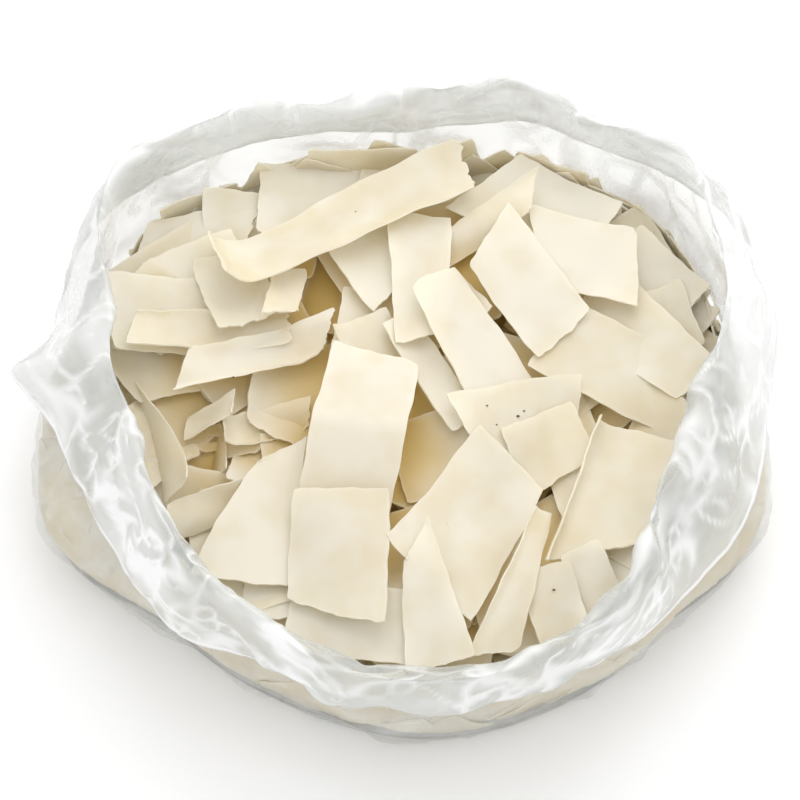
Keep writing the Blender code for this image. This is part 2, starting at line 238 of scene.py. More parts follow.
@dataclass(frozen=True)
class PlainFinish:
    """A plain matt finish, such as the floor's paper or a dark husk speck."""

    name: str
    colour: str
    roughness: float

    def build(self) -> bpy.types.Material:
        """Build the material."""
        material, tree, shader = new_material(self.name)
        shader.inputs["Base Color"].default_value = linear(self.colour)
        shader.inputs["Roughness"].default_value = self.roughness
        return material


def cubic(before: np.ndarray, here: np.ndarray, there: np.ndarray, after: np.ndarray,
          t: np.ndarray) -> np.ndarray:
    """Blend four neighbouring values into a smooth curve through the middle two.

    Formula: the cubic through the middle two whose slope at each is half the step between
    the values on its two sides.

    Args:
        before: Value one place back.
        here: Value at t = 0.
        there: Value at t = 1.
        after: Value one place on.
        t: Share of the way, shaped to match.

    Returns:
        The curve's value.
    """
    return here + 0.5 * t * (there - before + t * (2 * before - 5 * here + 4 * there - after
                                                   + t * (3 * (here - there) + after - before)))


def ramp(value: np.ndarray, start: float, end: float) -> np.ndarray:
    """Give a smooth step from 0 at start to 1 at end."""
    t = np.clip((value - start) / (end - start), 0, 1)
    return t * t * (3 - 2 * t)


def lattice(rng: np.random.Generator, u: np.ndarray, v: np.ndarray, cells: tuple[int, int],
            wraps: bool = True) -> np.ndarray:
    """Give smooth noise from -1 to 1.

    Formula: random values on a lattice of the unit square, blended by smooth steps between
    the four round each point. The lattice wraps along u where it is asked to.

    Args:
        rng: The seeded random generator.
        u: First coordinate, 0 to 1.
        v: Second coordinate, 0 to 1.
        cells: Lattice cells along u and v.
        wraps: Whether u = 1 joins u = 0.

    Returns:
        Noise shaped like u.
    """
    table = rng.uniform(-1, 1, (cells[0] + 1, cells[1] + 2))
    if wraps:
        table[-1] = table[0]
        u = u % 1.0
    a, b = np.clip(u, 0, 1) * cells[0], np.clip(v, 0, 1) * cells[1]
    i = np.minimum(a.astype(int), cells[0] - 1)
    j = np.minimum(b.astype(int), cells[1])
    s, t = ramp(a - i, 0, 1), ramp(b - j, 0, 1)
    low = table[i, j] * (1 - s) + table[i + 1, j] * s
    high = table[i, j + 1] * (1 - s) + table[i + 1, j + 1] * s
    return low * (1 - t) + high * t


def crumple(rng: np.random.Generator, points: np.ndarray, size: float) -> np.ndarray:
    """Give the height of crumpled film: bowls round scattered points that meet at creases.

    Formula: space is cut into cubes, each with one random point in it, and the height is
    the distance to the nearest of those points, out of the 27 cubes round each place. It is
    rounded off near the points themselves.

    Args:
        rng: The seeded random generator.
        points: Places in mm, with x, y and z last.
        size: Side of the cubes in mm.

    Returns:
        The distance in cube sides.
    """
    table = rng.uniform(0, 1, (37, 37, 37, 3))
    place = points / size
    cube = np.floor(place).astype(int)
    nearest = np.full(points.shape[:-1], 9.0)
    for step in np.ndindex(3, 3, 3):
        near = cube + np.array(step) - 1
        seed = table[tuple(np.moveaxis(near % 37, -1, 0))]
        nearest = np.minimum(nearest, np.linalg.norm(near + seed - place, axis=-1))
    return np.sqrt(nearest ** 2 + 0.09)


def grid_quads(rows: int, columns: int, closed: bool) -> np.ndarray:
    """Give the quads of a grid of points numbered row by row.

    Args:
        rows: Points along the first side.
        columns: Points along the second side.
        closed: Whether the last column joins the first.

    Returns:
        Four point numbers for each quad.
    """
    number = np.arange(rows * columns).reshape(rows, columns)
    right = np.roll(number, -1, axis=1)
    if not closed:
        number, right = number[:, :-1], right[:, :-1]
    quads = np.stack([number[:-1], right[:-1], right[1:], number[1:]], axis=-1)
    return quads.reshape(-1, 4)


def sheet_normals(points: np.ndarray, closed: bool) -> np.ndarray:
    """Give each grid point's unit normal: the cross product of its two tangents.

    Args:
        points: Grid of points, with rows first, then columns. More axes may come before.
        closed: Whether the last column joins the first.

    Returns:
        Normals shaped like points.
    """
    if closed:
        across = np.roll(points, -1, axis=-2) - np.roll(points, 1, axis=-2)
    else:
        across = np.gradient(points, axis=-2)
    along = np.gradient(points, axis=-3)
    normal = np.cross(across, along)
    size = np.linalg.norm(normal, axis=-1, keepdims=True)
    return normal / np.maximum(size, 1e-9)


def make_piece(name: str, points: np.ndarray, faces: list, marks: dict[str, np.ndarray],
               material: bpy.types.Material) -> bpy.types.Object:
    """Make one mesh piece at the origin, with smooth faces and its point values.

    Args:
        name: The piece's name.
        points: Points in mm.
        faces: Point numbers of each face.
        marks: Values on the points, by attribute name.
        material: The piece's finish.

    Returns:
        The new object.
    """
    mesh = bpy.data.meshes.new(name)
    mesh.from_pydata((points * MM).tolist(), [], faces)
    for mark, values in marks.items():
        layer = mesh.attributes.new(mark, "FLOAT", "POINT")
        layer.data.foreach_set("value", values.astype(np.float32).ravel())
    mesh.shade_smooth()
    mesh.materials.append(material)
    mesh.update()
    piece = bpy.data.objects.new(name, mesh)
    bpy.context.scene.collection.objects.link(piece)
    return piece


class Solid(Enum):
    """The solids that the pieces stand for: each one's node and material slot."""

    BAG = ("bag", "film")
    HEAP = ("rice_flakes", "rice")


def report(piece: bpy.types.Object, solid: Solid) -> None:
    """Hang a piece on the root, hide the imported part that it stands for, and log its size.

    Args:
        piece: The finished piece.
        solid: The solid that the piece stands for.
    """
    node, slot = solid.value
    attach(piece, ROOT)
    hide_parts(node)
    triangles = sum(len(face.vertices) - 2 for face in piece.data.polygons)
    log.info("%s: %d triangles", piece.name, triangles)


@dataclass
class BagForm:
    """The film's middle surface, by angle round the bag and step along its section.

    The steps run from the middle of the base (0) over the floor's corner (3), the belly (5),
    the neck (6) and the top of the fold (9) to the hem (11).
    """

    film: float = 0.8
    belly_height: float = 22.0
    belly: float = 4.0
    neck_height: float = 46.0
    cuff_clearance: float = 5.0
    corner: float = 6.0
    fold: float = 3.0
    ear_angle: float = math.radians(175.5)
    ear_spread: float = math.radians(4.5)
    ear_reach: float = 11.0
    ear_lift: float = 9.0
    crumples: tuple = ((5, 1.4, 8.5), (9, 1.3, 10.0), (13, 1.0, 9.0), (7, 1.0, 5.0),
                       (15, 0.7, 6.0))

    def outline(self, points: tuple, angles: np.ndarray) -> np.ndarray:
        """Read an outline at the angles: a smooth cubic through its points by their angle.

        Args:
            points: The outline's x, y and maybe height.
            angles: Where to read it, in radians.

        Returns:
            A row for each angle of radius and, where it has one, height.
        """
        rows = np.array(points, dtype=float)
        x, y = rows[:, 0] - MIDDLE[0], rows[:, 1] - MIDDLE[1]
        values = np.column_stack([np.hypot(x, y), rows[:, 2:]])
        turn = np.arctan2(y, x) % math.tau
        order = np.argsort(turn)
        turn, values = turn[order], values[order]
        spot = np.searchsorted(turn, angles % math.tau, side="right") - 1
        index = [(spot + step) % len(turn) for step in (-1, 0, 1, 2)]
        start = turn[index[1]]
        span = (turn[index[2]] - start) % math.tau
        t = (((angles - start) % math.tau) / span)[:, None]
        return cubic(*(values[i] for i in index), t)

    def section(self, angles: np.ndarray) -> np.ndarray:
        """Give the film's 12 section points at each angle.

        Args:
            angles: Angles round the bag, in radians.

        Returns:
            Radius and height, shaped step, 2, angle.
        """
        floor = self.outline(FLOOR, angles)[:, 0]
        mouth, mouth_z = self.outline(MOUTH, angles).T
        hem, hem_z = self.outline(HEM, angles).T
        half = 0.5 * self.film
        neck = np.minimum(0.5 * (floor + mouth), hem - self.cuff_clearance)
        away = (angles - self.ear_angle + math.pi) % math.tau - math.pi
        ear = self.ear_reach * np.exp(-(away / self.ear_spread) ** 2)
        shoulder = np.maximum(mouth + 2.4 * self.fold, 0.45 * mouth + 0.55 * hem + self.fold)
        rows = [
            (0 * floor, half), (0.5 * floor, half), (floor - self.corner, half),
            (floor - 0.25 * self.corner, half + 0.3 * self.corner),
            (floor + 0.5, half + self.corner), (floor + self.belly, self.belly_height),
            (neck, self.neck_height),
            (0.35 * neck + 0.65 * (mouth - self.fold), 0.3 * self.neck_height + 0.7 * mouth_z),
            (mouth - 0.4 * self.fold, mouth_z - 0.8 * self.fold),
            (mouth + self.fold, mouth_z - 0.4 * self.fold),
            (shoulder + 0.6 * ear, 0.42 * hem_z + 0.58 * mouth_z - self.fold),
            (hem + ear, hem_z + self.ear_lift / self.ear_reach * ear),
        ]
        return np.array([[radius, np.broadcast_to(z, radius.shape)] for radius, z in rows])

    def surface(self, angles: np.ndarray, steps: np.ndarray) -> np.ndarray:
        """Give points of the film's middle: a cubic along each section, plus broad crumples.

        Args:
            angles: Angle of each point.
            steps: Step of each point.

        Returns:
            Rows of x, y and z in mm.
        """
        section = self.section(angles)
        last = len(section) - 1
        spot = np.minimum(steps.astype(int), last - 1)
        column = np.arange(len(angles))
        near = [section[np.clip(spot + step, 0, last), :, column] for step in (-1, 0, 1, 2)]
        radius, z = cubic(*near, (steps - spot)[:, None]).T
        for index, (waves, size, peak) in enumerate(self.crumples):
            wave = np.sin(waves * angles + 1.7 * index + 0.25 * steps)
            strength = size * np.exp(-((steps - peak) / 2.2) ** 2) * np.clip(steps - 2, 0, 1)
            radius = radius + strength * wave
            z = z + 0.5 * strength * np.where(steps > 7, wave, 0)
        z = np.where(steps <= 2, 0.5 * self.film, z)
        return np.column_stack([radius * np.cos(angles), radius * np.sin(angles), z])

    def grid(self, angles: np.ndarray, steps: np.ndarray) -> np.ndarray:
        """Give the surface at every step (rows) and every angle (columns)."""
        flat = self.surface(np.tile(angles, len(steps)), np.repeat(steps, len(angles)))
        return flat.reshape(len(steps), len(angles), 3)

    def wall_table(self) -> tuple[np.ndarray, np.ndarray]:
        """Returns:
            The heights, and radius shaped angle, height.
        """
        angles = np.linspace(0, math.tau, 361)
        grid = self.grid(angles, np.linspace(2.0, 8.0, 60))
        radius = np.hypot(grid[..., 0], grid[..., 1])
        heights = np.linspace(1, 90, 90)
        rows = [np.interp(heights, grid[:, i, 2], radius[:, i]) for i in range(len(angles))]
        return heights, np.array(rows)


@dataclass(frozen=True)
class FilmPlaces:
    """Places on the film: the share of the way round, mm along the section, and its step."""

    turn: np.ndarray
    reach: np.ndarray
    step: np.ndarray
    span: float = 320.0

    def noise(self, rng: np.random.Generator, cells: tuple[int, int], up: np.ndarray | float = 0.0,
              aside: np.ndarray | float = 0.0) -> np.ndarray:
        """Give smooth noise from -1 to 1 that runs on round the film.

        Args:
            rng: The seeded random generator.
            cells: Noise cells round the film and along its section.
            up: Shift along the section, as a share of the span.
            aside: Shift round the film, as a share of the way round.

        Returns:
            The noise, shaped like turn.
        """
        return lattice(rng, self.turn + aside, self.reach / self.span + up, cells)


@dataclass(frozen=True)
class Folds:
    """A family of waves in the film.

    Each kind has a length in mm and a height as a share of that. The waves' way turns by up
    to lean from middle, in radians off the way round. Ridged ones are thin ridges on flat
    film, and the others are flat facets.
    """

    kinds: tuple
    middle: float
    lean: float
    ridged: bool = False


@dataclass
class PlasticBag:
    """The bag's film: a thin shell with the crinkles of hand-crumpled polythene.

    The spans called starts, ends and fades are steps along the section.
    """

    form: BagForm
    finish: MilkyPolythene = field(default_factory=MilkyPolythene)
    thickness: float = 0.16
    columns: int = 560
    stretches: tuple = ((0.1, 2.0, 4), (2.0, 6.0, 25), (6.0, 11.0, 57))
    girth: float = math.tau * 115
    facets: Folds = Folds(((64.0, 0.022), (41.0, 0.025), (27.0, 0.020)), 0.0, 1.4)
    crinkles: Folds = Folds(((17.0, 0.034), (11.0, 0.04)), 1.4, 0.5)
    creases: Folds = Folds(((46.0, 0.022), (31.0, 0.030)), 0.8, 1.5, True)
    pleats: Folds = Folds(((31.0, 0.028), (21.0, 0.038)), 0.0, 0.22, True)
    ridge_width: float = 2.2
    broad_cells: tuple[int, int] = (8, 4)
    fine_cells: tuple[int, int] = (27, 11)
    patch_cells: tuple[int, int] = (15, 6)
    fold_patch_cells: tuple[int, int] = (13, 5)
    vein_patch_cells: tuple[int, int] = (33, 17)
    wrinkle_drift_cells: tuple[int, int] = (37, 17)
    haze_drift_cells: tuple[int, int] = (19, 7)
    haze_cells: tuple = ((21, 12), (30, 41))
    wrinkles: tuple = ((17.0, 1.9), (8.0, 1.1))
    drawn_radius: float = 52.0
    vein_cells: tuple = ((17, 29), (31, 47), (53, 37), (61, 49), (41, 55))
    vein_width: float = 0.27
    vein_height: float = 0.4
    haze: float = 0.22
    inward: float = -0.9
    body_starts: tuple[float, float] = (3.0, 4.6)
    pleat_ends: tuple[float, float] = (6.0, 8.0)
    cuff_starts: tuple[float, float] = (5.0, 7.0)
    fold_starts: tuple[float, float] = (7.6, 8.4)
    fold_ends: tuple[float, float] = (8.9, 9.9)
    facet_fades: tuple[float, float] = (10.2, 11.0)
    cuff_fades: tuple[float, float] = (10.5, 11.0)
    # Steps over which the painted highlight line along the hem comes in.
    hem_glint_starts: tuple[float, float] = (10.84, 10.9)

    def waves(self, rng: np.random.Generator, at: FilmPlaces, folds: Folds) -> np.ndarray:
        """Add up a family of waves, in mm.

        Formula: a wave is a triangle wave of its phase, which gives flat facets that meet at
        creases, or a narrow bell at each whole turn, which gives thin ridges on flat film.
        The phase has its own direction and is bent by smooth noise, and patches of noise
        make the wave strong here and weak there.

        Args:
            rng: The seeded random generator.
            at: The places on the film.
            folds: The family of waves.

        Returns:
            The offset at each place.
        """
        total = np.zeros_like(at.turn)
        for length, height in folds.kinds:
            for _ in range(3):
                angle = folds.middle + rng.uniform(-folds.lean, folds.lean)
                around = int(round(self.girth * math.cos(angle) / length)) or 1
                bend = 0.9 * at.noise(rng, self.broad_cells) + 0.25 * at.noise(
                    rng, self.fine_cells)
                phase = around * at.turn + math.sin(angle) * at.reach / length + bend
                phase = phase + rng.uniform(0, 1)
                away = 0.5 - np.abs(phase - np.floor(phase) - 0.5)
                wave = 1 - 4 * away
                if folds.ridged:
                    wave = np.exp(-(away * length / self.ridge_width) ** 2)
                patch = ramp(at.noise(rng, self.patch_cells), -0.35, 0.5)
                total += height * length * wave * patch
        return total

    def veins(self, at: FilmPlaces) -> np.ndarray:
        """Give the thin white lines along which crumpled film was creased: partly stressed film,
        partly painted highlight.

        Formula: a line runs wherever smooth noise is near zero, fades in and out with a
        second noise, and is drawn out along the way round by the noise's longer cells.

        Args:
            at: The places on the film.

        Returns:
            The share of whiteness at each place, 0 to 1.
        """
        rng = np.random.default_rng(SEED + 11)
        lines = np.zeros_like(at.turn)
        for cells in self.vein_cells:
            drift = 0.03 * at.noise(rng, self.fine_cells)
            noise = at.noise(rng, cells, drift, 0.3 * drift)
            patch = ramp(at.noise(rng, self.vein_patch_cells), -0.3, 0.6)
            lines = np.maximum(lines, patch * (1 - ramp(np.abs(noise), 0.0, self.vein_width)))
        return lines

    def relief(self, at: FilmPlaces) -> np.ndarray:
        """Work out how far the film stands off its smooth middle, in mm.

        Formula: broad facets above the floor, ridged pleats that run down the body, ridged
        creases and crumples on the cuff, and fine crinkles that follow the fold, weaker down
        the cuff. The crumples are worked out on a tube of a smaller radius, so they are drawn
        out along the cuff. Neighbouring points are then averaged twice, which rounds every
        crease a little.

        Args:
            at: The places on the film.

        Returns:
            The offset at each place.
        """
        rng = np.random.default_rng(SEED)
        facets, crinkles, creases, pleats = (
            self.waves(rng, at, folds)
            for folds in (self.facets, self.crinkles, self.creases, self.pleats))
        body = ramp(at.step, *self.body_starts)
        over = ramp(at.step, *self.fold_ends)
        fold = ramp(at.step, *self.fold_starts) * (1 - over)
        cuff = ramp(at.step, *self.cuff_starts) * (1 - 0.7 * ramp(at.step, *self.cuff_fades))
        patchy = 0.35 + 0.65 * ramp(at.noise(rng, self.fold_patch_cells), -0.4, 0.6)
        facets = facets * (1 - 0.6 * ramp(at.step, *self.facet_fades))
        fold = np.maximum(fold, 0.6 * cuff * over)
        offset = body * facets + fold * patchy * crinkles + (0.25 * body + 0.75 * cuff) * creases
        offset = offset + body * (1 - ramp(at.step, *self.pleat_ends)) * pleats
        drift = np.stack([at.noise(rng, self.wrinkle_drift_cells) for _ in range(3)], axis=-1)
        around = math.tau * at.turn
        drawn = self.drawn_radius
        spread = np.stack([drawn * np.cos(around), drawn * np.sin(around), at.reach], axis=-1)
        for size, height in self.wrinkles:
            wrinkle = crumple(rng, spread + 0.45 * size * drift, size) - 0.5
            offset = offset + (0.35 * body + 0.65 * cuff) * height * wrinkle
        for _ in range(2):
            offset = 0.5 * offset + 0.25 * (np.roll(offset, 1, 1) + np.roll(offset, -1, 1))
            inside = 0.5 * offset[1:-1] + 0.25 * (offset[2:] + offset[:-2])
            offset = np.concatenate([offset[:1], inside, offset[-1:]])
        inner = ramp(at.step, 2.0, 3.0) * (1 - ramp(at.step, 7.2, 7.8))
        return np.where(inner > 0.5, np.maximum(offset, self.inward), offset)

    def whiteness(self, at: FilmPlaces, veins: np.ndarray) -> dict[str, np.ndarray]:
        """Give how white and how milky the film is: least on the body, most on the cuff.

        Formula: the milk grows over the neck and again over the fold, and smooth noise
        clouds it. The white is the creases' lines and the densest cloud, partly stressed film and
        partly painted highlight, and a painted highlight line along the hem.

        Args:
            at: The places on the film.
            veins: The white lines of the creases.

        Returns:
            The share at each place, by attribute name.
        """
        milk = 0.55 * ramp(at.step, 5.6, 7.0) + 0.45 * ramp(at.step, 7.4, 9.4)
        rng = np.random.default_rng(SEED + 3)
        drift = 0.03 * at.noise(rng, self.haze_drift_cells)
        broad, fine = self.haze_cells
        haze = at.noise(rng, broad) + 0.7 * at.noise(rng, fine, drift)
        # Partly painted highlight: the crease lines and the densest cloud turn white.
        stress_white_and_glint = (0.3 + 0.7 * milk) * (0.85 * veins + 0.45 * ramp(haze, 0.1, 1.0))
        # Painted highlight: a bright line along the hem, where the film is seen edge-on.
        stress_white_and_glint = np.clip(stress_white_and_glint + ramp(at.step, *self.hem_glint_starts), 0, 1)
        return {"stress_white_and_glint": stress_white_and_glint, "milk": milk + self.haze * haze}

    def film(self) -> tuple[np.ndarray, dict[str, np.ndarray]]:
        """Work out the crumpled film's middle, with rows closest together at the mouth.

        Returns:
            Points shaped step, angle, 3, and the values on them by attribute name.
        """
        angles = np.arange(self.columns) * math.tau / self.columns
        steps = np.concatenate([np.linspace(first, last, rows, endpoint=False)
                                for first, last, rows in self.stretches] + [[11.0]])
        points = self.form.grid(angles, steps)
        lengths = np.linalg.norm(np.diff(points[:, ::25], axis=0), axis=-1).mean(axis=1)
        path = np.concatenate([[0.0], np.cumsum(lengths)])
        at = FilmPlaces(*np.broadcast_arrays(angles / math.tau, path[:, None], steps[:, None]))
        veins = self.veins(at)
        offset = self.relief(at) + self.vein_height * ramp(at.step, 4.0, 7.0) * veins
        points = points + sheet_normals(points, True) * offset[..., None]
        points[..., 2] = np.maximum(points[..., 2], 0.5 * self.thickness)
        return points, self.whiteness(at, veins)

    def build(self) -> None:
        """Make the film: both its faces, joined along the hem and closed over the base."""
        points, marks = self.film()
        rows, columns = points.shape[:2]
        shift = sheet_normals(points, True) * 0.5 * self.thickness
        both = np.concatenate([(points + shift).reshape(-1, 3), (points - shift).reshape(-1, 3)])
        count = rows * columns
        quads = grid_quads(rows, columns, True)
        hem = np.arange(columns) + (rows - 1) * columns
        after = np.roll(hem, -1)
        faces = quads.tolist() + (quads[:, ::-1] + count).tolist()
        faces += np.stack([hem, after, after + count, hem + count], axis=-1).tolist()
        middle = np.arange(columns)
        faces += [middle[::-1].tolist(), (middle + count).tolist()]
        marks = {mark: np.concatenate([value.ravel()] * 2) for mark, value in marks.items()}
        report(make_piece("bag_film", both, faces, marks, self.finish.build()), Solid.BAG)


@dataclass(frozen=True)
class Flake:
    """One flake of rice sheet: where it lies, its cut size in mm and how it is bent.

    Angles are degrees. bend and cup turn the whole sheet from end to end and from side to
    side. tip and tail curl its two ends up, left and right its two sides. A kink bends it
    sharply across the middle, a slant cuts an end askew, and taper narrows the tip end. A
    flake that stands in a gap sinks into the heap by some mm.
    """

    x: float
    y: float
    length: float
    width: float
    turn: float
    bend: float = 8.0
    cup: float = 6.0
    tip: float = 0.0
    tail: float = 0.0
    left: float = 0.0
    right: float = 0.0
    twist: float = 2.0
    roll: float = 0.0
    tip_slant: float = 0.0
    tail_slant: float = 0.0
    taper: float = 0.0
    ripple: float = 0.9
    torn: float = 0.25
    kink: float = 0.0
    sink: float = 0.0


# The flakes that can be told apart in the photo, from the lowest to the highest.
SHOWN = (
    Flake(-33, 74, 34, 28, 0, bend=-8, cup=14, tip_slant=14, torn=0.6),
    Flake(2, 76, 38, 26, -12, cup=14, bend=10), Flake(48, 67, 46, 32, -30, bend=12, tail_slant=20),
    Flake(86, 40, 32, 22, -46, bend=20), Flake(90, 24, 24, 16, -72, cup=20),
    Flake(80, 18, 49, 24, -47, bend=16, taper=0.2),
    Flake(-69, 58, 38, 17, 10, left=30, tip_slant=25, tail_slant=21, torn=0.6, sink=3),
    Flake(-66, 38, 32, 29, 24, bend=16, left=40, torn=0.5, sink=3),
    Flake(-79, 27, 33, 28, 5, bend=22, cup=10, tail_slant=-6, tip_slant=-11, torn=0.5),
    Flake(-78, -20, 46, 17, -64, bend=26, roll=58, sink=7),
    Flake(-61, -22, 24, 12, -76, bend=18, roll=50, sink=8),
    Flake(-54, -12, 30, 14, -76, roll=24, sink=6),
    Flake(-61, -49, 26, 10, 27, roll=20, twist=10, tip_slant=30, tail_slant=13, sink=4),
    Flake(-41, -30, 27, 20, -12, bend=14, sink=5, torn=0.5),
    Flake(-36, -58, 50, 23, -93, cup=14, sink=2),
    Flake(-37, -3, 34, 24, -97, bend=14, cup=12, tip_slant=18, tail_slant=-14, left=20, torn=0.5),
    Flake(-44, -16, 31, 11, 17, bend=46, left=50, tail=40, tip_slant=20, tail_slant=10, sink=3,
          torn=0.6),
    Flake(-62, -11, 18, 8, 25, bend=50, cup=50, tip_slant=30, tail_slant=30, sink=1),
    Flake(-62, 21, 52, 14, 9, bend=32, right=65, left=20, tail_slant=20, torn=0.7, ripple=1.1),
    Flake(-47, 12, 52, 13, 24, bend=36, left=60, tip_slant=38, tail_slant=40, torn=0.7,
          ripple=1.1, sink=2),
    Flake(-7, 22, 28, 25, -9, bend=14, cup=14), Flake(13, -25, 27, 30, 8, cup=12),
    Flake(-9, 14, 23, 20, -66, bend=22, left=40, tip_slant=14, torn=0.5),
    Flake(-10, 46, 30, 21, -64, bend=24, cup=26, taper=0.25, tip_slant=-16, tail_slant=-20,
          twist=6),
    Flake(-54, 36, 28, 23, -73, bend=24, tail=40, right=30, taper=0.1, torn=0.7, ripple=0.9),
    Flake(-38, 34, 21, 11, -97, bend=56, cup=24, tip_slant=-30, tail_slant=-20, torn=0.5),
    Flake(62, 49, 36, 27, -18, bend=10, tip_slant=-16, tail_slant=-24),
    Flake(29, 63, 38, 12, 32, bend=18, roll=22, tip_slant=40, tail_slant=40),
    Flake(10, 5, 44, 12, -59, bend=12, left=20),
    Flake(7, 41, 48, 20, -89, bend=8, taper=0.1, tip_slant=-12, tail_slant=2),
    Flake(42, 37, 42, 25, -54, bend=10, cup=8, tip_slant=-9, tail_slant=-24, torn=0.3),
    Flake(24, 16, 52, 22, -60, bend=12, cup=-8, taper=-0.12, tip_slant=10, tail_slant=-8),
    Flake(-21, 62, 99, 23, 28, bend=10, cup=34, tail=60, left=24, tip_slant=14, tail_slant=8,
          torn=1.3, ripple=1.0, twist=5),
    Flake(39, -12, 39, 23, 14, bend=8, tip_slant=20, tail_slant=-14),
    Flake(48, -22, 22, 26, -65, bend=8, tip_slant=-8),
    Flake(66, -38, 46, 30, -111, bend=12, left=105, cup=10, tip_slant=-30, tail=16, torn=0.3),
    Flake(71, 7, 49, 29, -27, bend=8, tip_slant=-8, tail_slant=6, torn=0.3, sink=4),
    Flake(59, -67, 20, 14, -68, roll=12, tip_slant=-30),
    Flake(22, -47, 51, 32, -122, bend=10, cup=12, taper=-0.14, tip_slant=15, tail_slant=11),
    Flake(47, -72, 21, 17, -73, bend=6, tip_slant=-10, tail_slant=6),
    Flake(36, -68, 46, 10, -111, bend=24, left=50, taper=-0.4, tip_slant=-40, torn=0.3),
    Flake(-15, -88, 44, 23, -11, bend=8),
    Flake(9, -76, 40, 16, -80, bend=10, cup=10, tail_slant=-37, taper=-0.4),
    Flake(-41, -60, 32, 8, -106, bend=26, roll=20, sink=5),
    Flake(-49, -52, 48, 24, -103, bend=12, right=35, taper=-0.45, tip_slant=-14, tail_slant=-28),
    Flake(-13, -16, 58, 30, -101, bend=4, cup=6, kink=-30, tip_slant=4, tail_slant=7),
    Flake(-19, -58, 40, 31, -91, bend=14, cup=10, tip_slant=19, tail_slant=7, torn=0.3),
)


